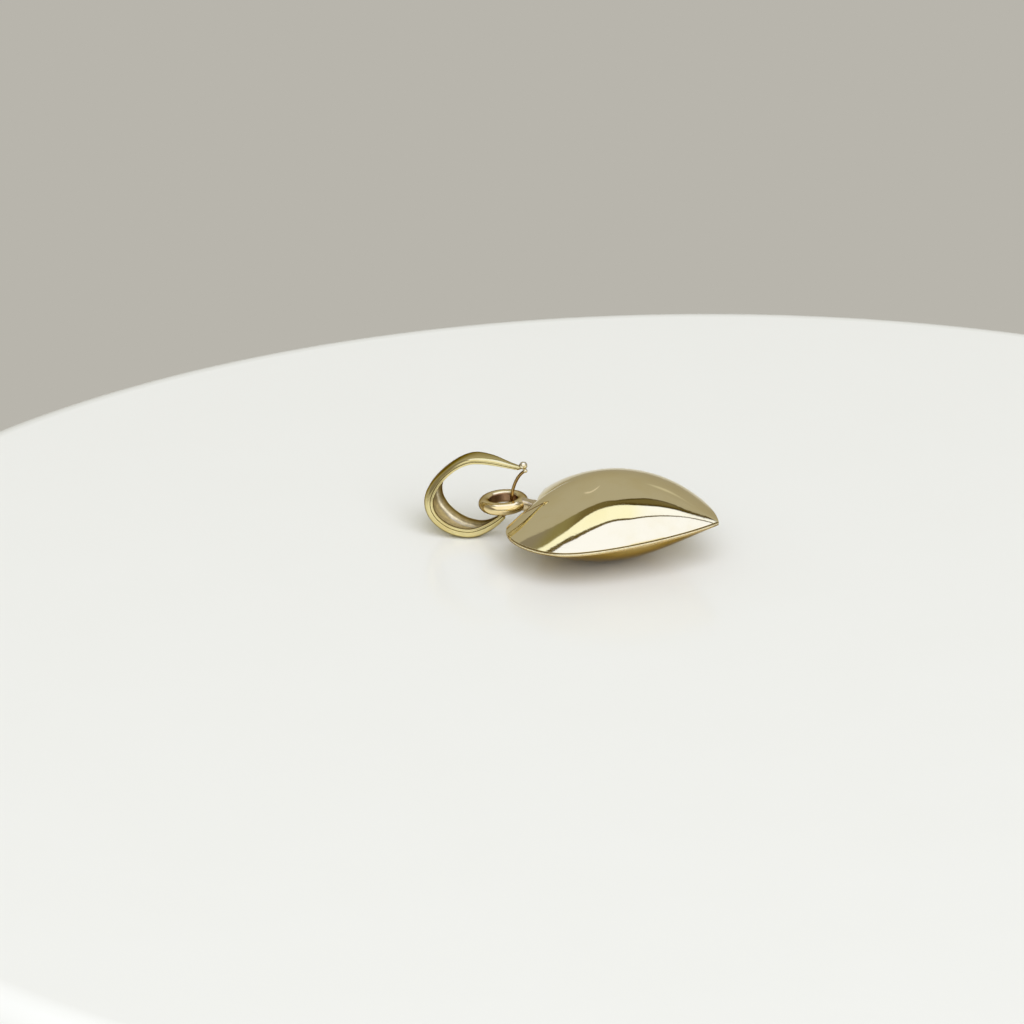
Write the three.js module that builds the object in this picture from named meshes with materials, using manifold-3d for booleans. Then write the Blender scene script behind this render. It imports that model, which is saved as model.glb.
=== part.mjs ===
// A hollow puffed heart pendant in gold, lying on its back shell, with a domed leaf bail threaded
// through the ring at its cleft. Millimetres, +Z up, +X from the bail to the tip of the heart.
// The origin lies under the middle of the pendant, on the surface that it rests on.

import * as THREE from 'three';
import { mergeVertices } from 'three/addons/utils/BufferGeometryUtils.js';
import Module from 'manifold-3d';

const wasm = await Module();
wasm.setup();

// Heart outline, in the plane of the seam
const heartLength = 12.87; // from the line across the tops of the lobes to the tip
const heartWidth = 13.88;
const cleftDepth = 1.03;
const lobeSpacing = 6.12; // between the tops of the two lobes
const widestPlace = 4.77; // from the lobes' line to the widest place
const tipHalfAngle = 65.6; // degrees
const cleftAngle = 143; // degrees from the heart's axis at which each lobe leaves the cleft

// Handles of the outline's curves, as shares of the runs that they cross
const cleftPull = 0.75;
const lobeInnerPull = 0.5;
const lobeOuterPull = 0.47;
const flankPull = 0.31;
const tipPull = 0.35;

// Heart shells
const domeHeight = 2.64; // of each shell, from the middle of the seam to its crown
const sheet = 0.2;
const rimLand = 0.36; // flat width of each shell's soldered rim
const domePower = 1.44; // 1 gives a cone, 2 a paraboloid
const crownRounding = 0.16; // share of the dome's radius that rounds off its crown
const domeCentre = 0.46; // share of the length from the lobes' line to the middle of the dome
const crownShift = 0.03; // share of the length that the crown lies nearer to the lobes
const outlineMelt = 1.83; // how soon the heart's outline melts into the round crown

// Solder between the shells
const seamHeight = 0.07;
const seamProud = 0.03;
const seamWidth = 0.3;
const solderGap = 0.01;

// Eye ring and its solder neck
const ringRadius = 1.16; // to the middle of the wire
const ringWire = 0.8; // wire diameter
const ringLift = 0.33; // from the plane of the seam to the middle of the ring
const ringReach = 0.02; // from the lobes' line on to the near edge of the ring
const neckWaist = 0.68; // least thickness of the neck
const neckFlare = 1.06; // thickness where it spreads on to the ring and the shells
const neckBite = 0.9; // how far past the cleft the neck's cone is drawn before the shells cut it

// Bail strap, in the plane of its loop, measured from the middle of the eye ring
const bailReach = 4.21; // back to the inside of the crown
const bailRise = 2.72; // up to the inside of the top
const bailDrop = 1.68; // down to the inside of the bottom
const topPlace = 1.56; // back to the highest place
const crownPlace = 0.06; // up to the place that reaches back the furthest
const bottomPlace = 2; // back to the lowest place
const tipPlace = 0.95; // forward to the strap's tip
const tipDip = 0.35; // from the inside of the top down to the tip
const endPlace = 0.1; // back to the strap's lower end
const endDrop = 0.76; // down to the inside of the lower end
const strapSheet = 0.25;
const strapLip = 0.2; // width of the edges that face into the loop

// Handles of the strap's four curves, as shares of the runs that they cross
const tipBackPull = 0.48;
const tipUpPull = 0.5;
const topForwardPull = 0.4;
const topBackPull = 0.44;
const crownUpPull = 0.42;
const crownDownPull = 0.55;
const bottomBackPull = 0.5;
const bottomForwardPull = 0.37;
const endBackPull = 0.26;
const endDownPull = 0.47;

// Width of the strap round its loop
const tipWidth = 0.36;
const noseWidth = 0.9; // halfway from the tip to the top
const topWidth = 1.35;
const shoulderWidth = 1.85; // halfway from the top to the crown
const crownWidth = 2.62;
const heelWidth = 2.45; // halfway from the crown to the bottom
const bottomWidth = 1.8;
const keelWidth = 0.95; // halfway from the bottom to the lower end
const endWidth = 0.34;

// Depth of its flanks at the same places
const tipFlank = 0.22;
const noseFlank = 0.3;
const topFlank = 0.33;
const shoulderFlank = 0.34;
const crownFlank = 0.62;
const heelFlank = 0.68;
const bottomFlank = 0.62;
const keelFlank = 0.48;
const endFlank = 0.34;

// Rise of its domed back above the flanks
const strapRise = 0.1;
const narrowRise = 0.08;
const pointRise = 0.03;

// Tail that passes through the ring, and the two beads that close the bail
const tailWire = 0.2;
const tailPlay = 0.13; // between the tail and the heart's side of the ring's hole
const tailLean = 33; // degrees from level at which the tail reaches its bead
const tipBead = 0.55; // bead diameters
const tailBead = 0.3;
const beadSeat = 0.2; // how far the tip's bead stands above the flank, as a share of its diameter
const beadAngle = 70; // degrees below level from the tip's bead to the tail's
const beadGap = 0.03;

// Handles of the tail's two curves, as shares of their spans
const tailStartPull = 0.4;
const tailUnderPull = 0.35;
const tailOverPull = 0.45;
const tailFinishPull = 0.22;

// How the pendant lies
const pitch = 4.6; // degrees that the tip is raised
const bailTurn = 8; // degrees that the bail points off the heart's axis
const bailTilt = 25; // most degrees that the bail is tilted, either way, to touch the surface

// Fineness of the curves
const lobeSteps = 8;
const flankSteps = 10;
const domeLevels = 9;
const ringSteps = 40;
const wireSides = 14;
const strapSteps = 14; // along each of the four stretches of the loop
const tailSteps = 26;
const tailSides = 8;
const neckSteps = 8;
const neckSides = 28;
const beadSteps = 14;
const tiltSteps = 24;

const { degToRad } = THREE.MathUtils;
const halfWire = ringWire / 2;
const tailPlace = ringRadius - halfWire - tailPlay - tailWire / 2;
const ringCentre = new THREE.Vector3(ringReach - ringRadius - halfWire, 0, ringLift);

// The strap's sections at even steps round its loop, from its tip to its lower end
const strapSizes = [
  { width: tipWidth, flank: tipFlank, rise: pointRise },
  { width: noseWidth, flank: noseFlank, rise: narrowRise },
  { width: topWidth, flank: topFlank, rise: strapRise },
  { width: shoulderWidth, flank: shoulderFlank, rise: narrowRise },
  { width: crownWidth, flank: crownFlank, rise: strapRise },
  { width: heelWidth, flank: heelFlank, rise: strapRise },
  { width: bottomWidth, flank: bottomFlank, rise: strapRise },
  { width: keelWidth, flank: keelFlank, rise: narrowRise },
  { width: endWidth, flank: endFlank, rise: pointRise },
];

function flat(x, y) {
  return new THREE.Vector2(x, y);
}

function heading(degrees, length = 1) {
  return flat(Math.cos(degToRad(degrees)), Math.sin(degToRad(degrees))).multiplyScalar(length);
}

// Cubic curve from a to b that leaves and arrives along the two handles
function stretch(a, handleA, b, handleB) {
  return new THREE.CubicBezierCurve(a, a.clone().add(handleA), b.clone().add(handleB), b);
}

// Half of the heart's outline, from the cleft round one lobe to the tip
function halfOutline() {
  const cleft = flat(cleftDepth, 0);
  const lobe = flat(0, lobeSpacing / 2);
  const side = flat(widestPlace, heartWidth / 2);
  const tip = flat(heartLength, 0);
  const lobeRun = side.y - lobe.y;
  const flankRun = tip.x - side.x;
  const fromCleft = heading(cleftAngle, cleftPull * cleftDepth);
  const intoTip = heading(180 - tipHalfAngle, tipPull * flankRun);
  const inner = stretch(cleft, fromCleft, lobe, flat(0, -lobeInnerPull * lobe.y));
  const outer = stretch(lobe, flat(0, lobeOuterPull * lobeRun), side, flat(-lobeOuterPull * side.x, 0));
  const flank = stretch(side, flat(flankPull * flankRun, 0), tip, intoTip);
  return [
    ...inner.getPoints(lobeSteps).slice(0, -1),
    ...outer.getPoints(lobeSteps).slice(0, -1),
    ...flank.getPoints(flankSteps),
  ];
}

// Whole outline, counter-clockwise from the tip, moved outward by grow
function heartOutline(grow) {
  const half = halfOutline();
  const otherHalf = half.slice(1, -1).map((p) => flat(p.x, -p.y));
  const loop = [...half.reverse(), ...otherHalf];
  return loop.map((p, i) => {
    const before = loop.at(i - 1);
    const after = loop[(i + 1) % loop.length];
    const along = after.clone().sub(before).normalize();
    return flat(p.x + along.y * grow, p.y - along.x * grow);
  });
}

// Share of the dome's height that is lost at a level, from 0 at the crown to 1 at the rim
function fall(level) {
  const lift = crownRounding ** 2;
  const curve = (t) => (t * t + lift) ** (domePower / 2);
  return (curve(level) - curve(0)) / (curve(1) - curve(0));
}

// Rings of a dome that rises from base by height over the outline moved outward by grow, rim first
function domeRings(grow, base, height) {
  const outline = heartOutline(grow);
  const middle = domeCentre * heartLength;
  const roundRadius = heartWidth / 2 + grow;
  const rings = [];
  for (let i = 0; i < domeLevels; i += 1) {
    const level = 1 - i / domeLevels;
    const heartShare = level ** outlineMelt;
    const shift = crownShift * heartLength * (1 - level * level);
    rings.push(outline.map((p) => {
      const arm = flat(p.x - middle, p.y);
      const radius = level * (heartShare * arm.length() + (1 - heartShare) * roundRadius);
      arm.setLength(radius);
      return new THREE.Vector3(middle - shift + arm.x, arm.y, base + height * (1 - fall(level)));
    }));
  }
  const crown = new THREE.Vector3(middle - crownShift * heartLength, 0, base + height);
  return { rings, crown };
}

// Closed body through a row of rings, with a point at each end. Looking along the row, each ring
// runs counter-clockwise.
function loft(start, rings, end) {
  const count = rings[0].length;
  const points = [start, ...rings.flat(), end];
  const last = points.length - 1;
  const faces = [];
  for (let j = 0; j < count; j += 1) {
    const next = (j + 1) % count;
    faces.push(0, 1 + j, 1 + next);
    for (let i = 0; i < rings.length - 1; i += 1) {
      const a = 1 + i * count;
      const b = a + count;
      faces.push(a + j, b + j, b + next, a + j, b + next, a + next);
    }
    const rim = last - count;
    faces.push(rim + j, last, rim + next);
  }
  const geometry = new THREE.BufferGeometry().setFromPoints(points);
  geometry.setIndex(faces);
  geometry.computeVertexNormals();
  return geometry;
}

// Thin cup of one heart half, rim down
function shellGeometry() {
  const base = seamHeight / 2 + solderGap;
  const outer = domeRings(0, base, domeHeight - base);
  const inner = domeRings(-rimLand, base, domeHeight - base - sheet);
  return loft(outer.crown, [...outer.rings.reverse(), ...inner.rings], inner.crown);
}

// Line of solder that joins the two rims and stands a little proud of them
function seamGeometry() {
  const shape = new THREE.Shape(heartOutline(seamProud));
  shape.holes.push(new THREE.Path(heartOutline(seamProud - seamWidth)));
  const geometry = new THREE.ExtrudeGeometry(shape, { depth: seamHeight, bevelEnabled: false });
  return geometry.translate(0, 0, -seamHeight / 2);
}

function ringGeometry(grow = 0) {
  const geometry = new THREE.TorusGeometry(ringRadius, halfWire + grow, wireSides, ringSteps);
  return geometry.translate(ringCentre.x, ringCentre.y, ringCentre.z);
}

// The heart as one solid, grown by a clearance, for cutting its neighbours
function heartBlank(grow) {
  const front = domeRings(grow, 0, domeHeight + grow);
  const mirrored = ({ x, y, z }) => new THREE.Vector3(x, y, -z);
  const backRings = front.rings.slice(1).map((ring) => ring.map(mirrored));
  return loft(front.crown, [...front.rings.slice().reverse(), ...backRings], mirrored(front.crown));
}

function solidOf(geometry) {
  const bare = geometry.clone();
  bare.deleteAttribute('normal');
  bare.deleteAttribute('uv');
  const merged = mergeVertices(bare);
  const vertProperties = new Float32Array(merged.attributes.position.array);
  const triVerts = new Uint32Array(merged.index.array);
  return new wasm.Manifold(new wasm.Mesh({ numProp: 3, vertProperties, triVerts }));
}

function geometryOf(solid) {
  const { vertProperties, triVerts } = solid.getMesh();
  const geometry = new THREE.BufferGeometry();
  geometry.setAttribute('position', new THREE.BufferAttribute(vertProperties, 3));
  geometry.setIndex(new THREE.BufferAttribute(triVerts, 1));
  geometry.computeVertexNormals();
  return geometry;
}

// Waisted neck of solder from the ring into the cleft, cut to fit both
function neckGeometry() {
  const start = new THREE.Vector3(ringCentre.x + ringRadius, 0, ringLift);
  const aim = new THREE.Vector3(cleftDepth + neckBite, 0, 0);
  const length = start.distanceTo(aim);
  const profile = [flat(0, 0)];
  for (let i = 0; i <= neckSteps; i += 1) {
    const along = i / neckSteps;
    const swell = (2 * along - 1) ** 2;
    const radius = (neckWaist + (neckFlare - neckWaist) * swell) / 2;
    profile.push(flat(radius, along * length));
  }
  profile.push(flat(0, length));
  const upright = new THREE.Vector3(0, 1, 0);
  const turn = new THREE.Quaternion().setFromUnitVectors(upright, aim.clone().sub(start).normalize());
  const cone = new THREE.LatheGeometry(profile, neckSides)
    .applyQuaternion(turn)
    .translate(start.x, start.y, start.z);
  const neck = solidOf(cone)
    .subtract(solidOf(ringGeometry(solderGap)))
    .subtract(solidOf(heartBlank(seamProud + solderGap)));
  return geometryOf(neck);
}

// Inside line of the strap from its tip over the top, round the crown and under to its lower end
function strapLine() {
  const tip = flat(tipPlace, bailRise - tipDip);
  const top = flat(-topPlace, bailRise);
  const crown = flat(-bailReach, crownPlace);
  const bottom = flat(-bottomPlace, -bailDrop);
  const end = flat(-endPlace, -endDrop);
  const tipRun = tip.x - top.x;
  const topRun = top.x - crown.x;
  const bottomRun = bottom.x - crown.x;
  const endRun = end.x - bottom.x;
  const fromTip = flat(-tipBackPull * tipRun, tipUpPull * tipDip);
  const toCrown = flat(0, crownUpPull * (top.y - crown.y));
  const fromCrown = flat(0, crownDownPull * (bottom.y - crown.y));
  const toEnd = flat(-endBackPull * endRun, endDownPull * (bottom.y - end.y));
  return [
    stretch(tip, fromTip, top, flat(topForwardPull * tipRun, 0)),
    stretch(top, flat(-topBackPull * topRun, 0), crown, toCrown),
    stretch(crown, fromCrown, bottom, flat(-bottomBackPull * bottomRun, 0)),
    stretch(bottom, flat(bottomForwardPull * endRun, 0), end, toEnd),
  ];
}

// Place and heading at a share of the way along the strap, counted in whole stretches
function strapPlace(lines, way) {
  const index = Math.min(Math.floor(way), lines.length - 1);
  const along = lines[index].getTangent(way - index);
  return { at: lines[index].getPoint(way - index), along, out: flat(along.y, -along.x) };
}

// Closed section of the strap, counter-clockwise: flanks, domed crown and hollow inside. The outside
// rows are shares of the half width, the flank and the rise, the inside rows of half width and hollow.
function strapSection({ width, flank, rise }) {
  const half = width / 2;
  const lip = Math.min(strapLip, 0.45 * half);
  const hollow = Math.max(flank + rise - strapSheet, 0.1 * flank);
  const outside = [[1, 0, 0], [1, 0.5, 0], [0.96, 0.8, 0.1], [0.84, 0.95, 0.35], [0.5, 1, 0.75]];
  const inside = [[1, 0], [0.8, 0.62], [0.45, 0.92]];
  const right = outside.map(([across, up, crown]) => flat(across * half, up * flank + crown * rise));
  const innerLeft = inside.map(([across, up]) => flat(-across * (half - lip), up * hollow));
  const mirror = (points) => points.map((p) => flat(-p.x, p.y)).reverse();
  const outer = [...right, flat(0, flank + rise), ...mirror(right)];
  return [...outer, ...innerLeft, flat(0, hollow), ...mirror(innerLeft)];
}

function strapGeometry() {
  const lines = strapLine();
  const sizes = new THREE.CatmullRomCurve3(
    strapSizes.map(({ width, flank, rise }) => new THREE.Vector3(width, flank, rise)),
    false,
    'catmullrom',
  );
  const rings = [];
  const steps = strapSteps * lines.length;
  for (let i = 0; i <= steps; i += 1) {
    const way = i / strapSteps;
    const { x: width, y: flank, z: rise } = sizes.getPoint(way / lines.length);
    const { at, out } = strapPlace(lines, way);
    rings.push(strapSection({ width, flank, rise }).map(
      (p) => new THREE.Vector3(at.x + out.x * p.y, p.x, at.y + out.y * p.y),
    ));
  }
  const middle = (way, { flank }) => {
    const { at, out } = strapPlace(lines, way);
    return new THREE.Vector3(at.x + out.x * flank / 2, 0, at.y + out.y * flank / 2);
  };
  return loft(middle(0, strapSizes[0]), rings, middle(lines.length, strapSizes.at(-1)));
}

// Middles of the bead on the strap's tip and of the bead on the tail's end
function beadPlaces() {
  const { at, along, out } = strapPlace(strapLine(), 0);
  const reach = tipBead / 2 + beadGap;
  const height = strapSizes[0].flank + beadSeat * tipBead;
  const onTip = at.clone().addScaledVector(along, -reach).addScaledVector(out, height);
  const drop = (tipBead + tailBead) / 2 + beadGap;
  const onTail = onTip.clone().add(heading(-beadAngle, drop));
  return { onTip, onTail };
}

// Thin tail from the strap's lower end up through the ring to the tail's bead
function tailGeometry() {
  const lines = strapLine();
  const { at, along, out } = strapPlace(lines, lines.length);
  const { onTail } = beadPlaces();
  const deep = (p) => new THREE.Vector3(p.x, 0, p.y);
  const start = at.clone().addScaledVector(out, strapSizes.at(-1).flank / 2).addScaledVector(along, beadGap);
  const through = flat(tailPlace, 0);
  const back = heading(180 + tailLean);
  const finish = onTail.clone().addScaledVector(back, tailBead / 2 + beadGap);
  const lower = through.distanceTo(start);
  const upper = through.distanceTo(finish);
  const route = new THREE.CurvePath();
  route.add(new THREE.CubicBezierCurve3(
    deep(start),
    deep(start.clone().addScaledVector(along, tailStartPull * lower)),
    deep(through.clone().add(flat(0, -tailUnderPull * lower))),
    deep(through),
  ));
  route.add(new THREE.CubicBezierCurve3(
    deep(through),
    deep(through.clone().add(flat(0, tailOverPull * upper))),
    deep(finish.clone().addScaledVector(back, tailFinishPull * upper)),
    deep(finish),
  ));
  const section = new THREE.Shape();
  section.absarc(0, 0, tailWire / 2, 0, 2 * Math.PI);
  return new THREE.ExtrudeGeometry(section, {
    steps: tailSteps,
    curveSegments: tailSides / 2,
    extrudePath: route,
  });
}

function beadGeometry(diameter, place) {
  const geometry = new THREE.SphereGeometry(diameter / 2, beadSteps, beadSteps / 2);
  return geometry.rotateX(Math.PI / 2).translate(place.x, 0, place.y);
}

function gold(color, roughness) {
  return new THREE.MeshStandardMaterial({ color, roughness, metalness: 1 });
}

function piece(name, geometry, material) {
  const mesh = new THREE.Mesh(geometry, material);
  mesh.name = name;
  return mesh;
}

function buildHeart() {
  const heart = new THREE.Group();
  const front = piece('heart_front_shell', shellGeometry(), gold('#d8bd72', 0.1));
  const back = piece('heart_back_shell', shellGeometry(), gold('#d4b76a', 0.12));
  back.rotation.x = Math.PI;
  heart.add(
    front,
    back,
    piece('seam_solder', seamGeometry(), gold('#e2c877', 0.25)),
    piece('eye_ring', ringGeometry(), gold('#d2a95c', 0.14)),
    piece('eye_ring_solder', neckGeometry(), gold('#cfae66', 0.22)),
  );
  return heart;
}

function buildBail() {
  const loop = new THREE.Group();
  const { onTip, onTail } = beadPlaces();
  loop.add(
    piece('bail_strap', strapGeometry(), gold('#d9bc68', 0.15)),
    piece('bail_tail', tailGeometry(), gold('#cfa850', 0.2)),
    piece('bail_tip_bead', beadGeometry(tipBead, onTip), gold('#e0c67c', 0.12)),
    piece('bail_tail_bead', beadGeometry(tailBead, onTail), gold('#dcc070', 0.14)),
  );
  loop.position.x = -tailPlace;
  const bail = new THREE.Group();
  bail.add(loop);
  return bail;
}

function extentOf(object) {
  return new THREE.Box3().setFromObject(object, true);
}

// Tilts the bail about its tail until it touches the surface that the heart rests on
function layBail(bail, floor) {
  let low = -degToRad(bailTilt);
  let high = degToRad(bailTilt);
  for (let i = 0; i < tiltSteps; i += 1) {
    bail.rotation.y = (low + high) / 2;
    if (extentOf(bail).min.z < floor) {
      low = bail.rotation.y;
    } else {
      high = bail.rotation.y;
    }
  }
}

const heart = buildHeart();
heart.rotation.y = -degToRad(pitch);

const bail = buildBail();
bail.rotation.order = 'ZYX';
bail.rotation.z = degToRad(bailTurn);
bail.position.copy(ringCentre).applyEuler(heart.rotation);
bail.position.x += tailPlace;
layBail(bail, extentOf(heart).min.z);

const pendant = new THREE.Group();
pendant.add(heart, bail);
const extent = extentOf(pendant);
const middle = extent.getCenter(new THREE.Vector3());
pendant.position.set(-middle.x, -middle.y, -extent.min.z);

export default pendant;
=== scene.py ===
"""Dresses a hollow gold heart pendant, its ring and its leaf bail, on a white plate.

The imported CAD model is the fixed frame. Every solid of it is stood for by a finer piece made from the
same sizes, so that polished gold reflects the studio without facets. Sizes are in millimetres, and a
mesh is written in metres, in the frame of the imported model.
"""

import logging
import math
from collections.abc import Mapping, Sequence
from dataclasses import dataclass
from enum import Enum
from functools import reduce

import bmesh
import bpy
import numpy as np
from mathutils import Matrix, Vector


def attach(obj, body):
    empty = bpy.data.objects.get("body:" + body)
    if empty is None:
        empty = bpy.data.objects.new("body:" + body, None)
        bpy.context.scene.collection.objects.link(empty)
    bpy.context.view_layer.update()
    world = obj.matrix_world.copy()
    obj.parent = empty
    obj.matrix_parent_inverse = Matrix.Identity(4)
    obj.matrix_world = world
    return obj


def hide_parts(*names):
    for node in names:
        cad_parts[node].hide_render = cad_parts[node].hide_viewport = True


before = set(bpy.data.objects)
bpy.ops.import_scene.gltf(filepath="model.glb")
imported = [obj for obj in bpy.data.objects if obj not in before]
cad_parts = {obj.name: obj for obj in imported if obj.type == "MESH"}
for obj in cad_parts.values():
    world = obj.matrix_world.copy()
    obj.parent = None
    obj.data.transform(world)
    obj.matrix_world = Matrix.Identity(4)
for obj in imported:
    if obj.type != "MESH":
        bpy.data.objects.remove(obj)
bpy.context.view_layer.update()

log = logging.getLogger("pendant")
MM = 0.001
Point = tuple[float, float]
Spot = tuple[float, float, float]
Colour = tuple[float, float, float]
Node = bpy.types.Node
Piece = bpy.types.Object
Socket = bpy.types.NodeSocket
Feeds = Mapping[str | int, object]

HEART_MIDDLE: Spot = (-3.17833, 0.0, 2.18767)
HEART_UP: Spot = (-0.080199, 0.0, 0.996779)
RING_MIDDLE: Spot = (-4.7398, 0.0, 2.3931)


def heading(degrees: float, length: float = 1.0) -> np.ndarray:
    """A flat arrow of some length, turned counter-clockwise from +X."""
    angle = math.radians(degrees)
    return np.array([math.cos(angle), math.sin(angle)]) * length


def fuller(wave: np.ndarray, power: float) -> np.ndarray:
    """Bends the waves of a round section so that its corners are fuller."""
    return np.sign(wave) * np.abs(wave) ** power


@dataclass(frozen=True)
class Stretch:
    """A flat cubic curve that leaves its start and reaches its end along two handles."""

    start: np.ndarray
    start_handle: np.ndarray
    end: np.ndarray
    end_handle: np.ndarray

    def _corners(self) -> np.ndarray:
        """The four control points."""
        return np.array([self.start, self.start + self.start_handle, self.end + self.end_handle, self.end])

    def at(self, share: np.ndarray) -> np.ndarray:
        """Points at shares of the way along the curve, in rows of two numbers."""
        t = np.atleast_1d(share)[:, None]
        return np.hstack([(1 - t) ** 3, 3 * (1 - t) ** 2 * t, 3 * (1 - t) * t * t, t**3]) @ self._corners()

    def along(self, share: np.ndarray) -> np.ndarray:
        """Unit directions of travel on the curve.

        Args:
            share: Shares of the way along the curve.

        Returns:
            One row of two numbers for each share.
        """
        t = np.atleast_1d(share)[:, None]
        slope = np.hstack([(1 - t) ** 2, 2 * (1 - t) * t, t * t]) @ np.diff(self._corners(), axis=0)
        return slope / np.linalg.norm(slope, axis=1)[:, None]


@dataclass(frozen=True)
class Placement:
    """Where a sub-assembly lies in the row frame: a tilt about Y, then a turn about Z, then a shift."""

    turn: float
    tilt: float
    origin: Spot

    def matrix(self) -> np.ndarray:
        """The turning part, as a three by three array."""
        turn = Matrix.Rotation(math.radians(self.turn), 3, "Z")
        return np.array(turn @ Matrix.Rotation(math.radians(self.tilt), 3, "Y"))

    def place(self, points: np.ndarray) -> np.ndarray:
        """Takes points of the sub-assembly into the row frame, all in millimetres."""
        return np.asarray(points) @ self.matrix().T + np.array(self.origin)


class Bench:
    """A node tree on the workbench, with short ways to add and join its nodes."""

    def __init__(self, tree: bpy.types.NodeTree) -> None:
        """Takes a tree and empties it."""
        self.tree = tree
        tree.nodes.clear()

    def add(self, kind: str, feeds: Feeds | None = None, **settings: object) -> Node:
        """Adds a node.

        Args:
            kind: The node's Blender type.
            feeds: A socket to link from or a constant, for each input by its name or number.
            **settings: Values of the node's own properties.

        Returns:
            The new node.
        """
        node = self.tree.nodes.new(kind)
        for name, value in settings.items():
            setattr(node, name, value)
        for key, value in (feeds or {}).items():
            if isinstance(value, Socket):
                self.tree.links.new(value, node.inputs[key])
            else:
                node.inputs[key].default_value = value
        return node

    def through(self, flow: Socket, kind: str, feeds: Feeds | None = None, **settings: object) -> Socket:
        """Sends a flow into the first input of a new node and gives its first output."""
        return self.add(kind, {0: flow, **(feeds or {})}, **settings).outputs[0]

    def maths(self, operation: str, *values: object, clamp: bool = False) -> Socket:
        """Works out a number from sockets or numbers, and may keep it between 0 and 1."""
        feeds = dict(enumerate(values))
        return self.add("ShaderNodeMath", feeds, operation=operation, use_clamp=clamp).outputs[0]

    def times(self, first: object, second: object) -> Socket:
        """One number times another."""
        return self.maths("MULTIPLY", first, second)

    def apart(self, first: object, second: object) -> Socket:
        """How far two numbers are apart."""
        return self.maths("ABSOLUTE", self.maths("SUBTRACT", first, second))

    def vectors(self, operation: str, feeds: Feeds) -> bpy.types.bpy_prop_collection:
        """Works out a vector or a length, and gives the outputs that hold them."""
        return self.add("ShaderNodeVectorMath", feeds, operation=operation).outputs

    def dot(self, vector: object, direction: Sequence[float]) -> Socket:
        """Measures a vector along a direction."""
        return self.vectors("DOT_PRODUCT", {0: vector, 1: tuple(direction)})["Value"]

    def step(self, value: object, low: float, high: float) -> Socket:
        """Eases from 0 to 1 as a value goes from low to high.

        Args:
            value: The socket that is read.
            low: The value that gives 0.
            high: The value that gives 1, which may be less than low.

        Returns:
            The socket that holds the share.
        """
        start = 1.0 if high < low else 0.0
        span = {"From Min": min(low, high), "From Max": max(low, high), "To Min": start, "To Max": 1.0 - start}
        node = self.add("ShaderNodeMapRange", {"Value": value, **span}, interpolation_type="SMOOTHSTEP")
        return node.outputs["Result"]

    def steps(self, values: Sequence[object], fades: Sequence[Point]) -> Socket:
        """Multiplies the steps of several values, each by its own fade."""
        return reduce(self.times, [self.step(value, *fade) for value, fade in zip(values, fades)])

    def mix(self, share: object, first: object, second: object) -> Socket:
        """Mixes two colours by the share of the second one."""
        # A Mix node takes the share at input 0 and colours at 6 and 7, and gives the colour at output 2.
        first, second = (c if isinstance(c, Socket) else (*c, 1.0) for c in (first, second))
        return self.add("ShaderNodeMix", {0: share, 6: first, 7: second}, data_type="RGBA").outputs[2]

    def noise(self, place: Socket, size: float, detail: float) -> Socket:
        """Reads a cloudy pattern, near 0.5, with patches of a size in millimetres."""
        feeds = {"Vector": place, "Scale": 1 / (size * MM), "Detail": detail}
        return self.add("ShaderNodeTexNoise", feeds).outputs["Fac"]


class Shape(Enum):
    """What the distance to painted shade is measured from."""

    LINE = "line"
    PLANE = "plane"


@dataclass(frozen=True)
class DullPaintedShade:
    """Painted shade: a darker colour on duller metal, laid where shade falls in a recess.

    It lies nearer than its limit to a line, or farther than its limit above a plane.
    """

    shape: Shape
    origin: Spot
    axis: Spot
    limit: float
    fade: float
    colour: Colour
    roughness: float

    def mask(self, bench: Bench, place: Socket) -> Socket:
        """Marks the painted shade.

        Args:
            bench: The tree.
            place: The socket of the place.

        Returns:
            A socket that is 1 on it and 0 elsewhere.
        """
        axis = tuple(Vector(self.axis).normalized())
        offset = bench.vectors("SUBTRACT", {0: place, 1: tuple(Vector(self.origin) * MM)})["Vector"]
        height = bench.dot(offset, axis)
        near, far = (self.limit - self.fade) * MM, (self.limit + self.fade) * MM
        if self.shape is Shape.PLANE:
            return bench.step(height, near, far)
        foot = bench.vectors("SCALE", {0: axis, "Scale": height})["Vector"]
        return bench.step(bench.vectors("DISTANCE", {0: offset, 1: foot})["Value"], far, near)


@dataclass(frozen=True)
class MarkedPaintedShade:
    """Painted shade on duller metal, where a mark on the mesh's points says so."""

    mark: str
    colour: Colour
    roughness: float

    def mask(self, bench: Bench, place: Socket) -> Socket:
        """Reads the mark, 1 on the painted shade and 0 elsewhere, without need of the place."""
        return bench.add("ShaderNodeAttribute", attribute_name=self.mark).outputs["Fac"]


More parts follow.
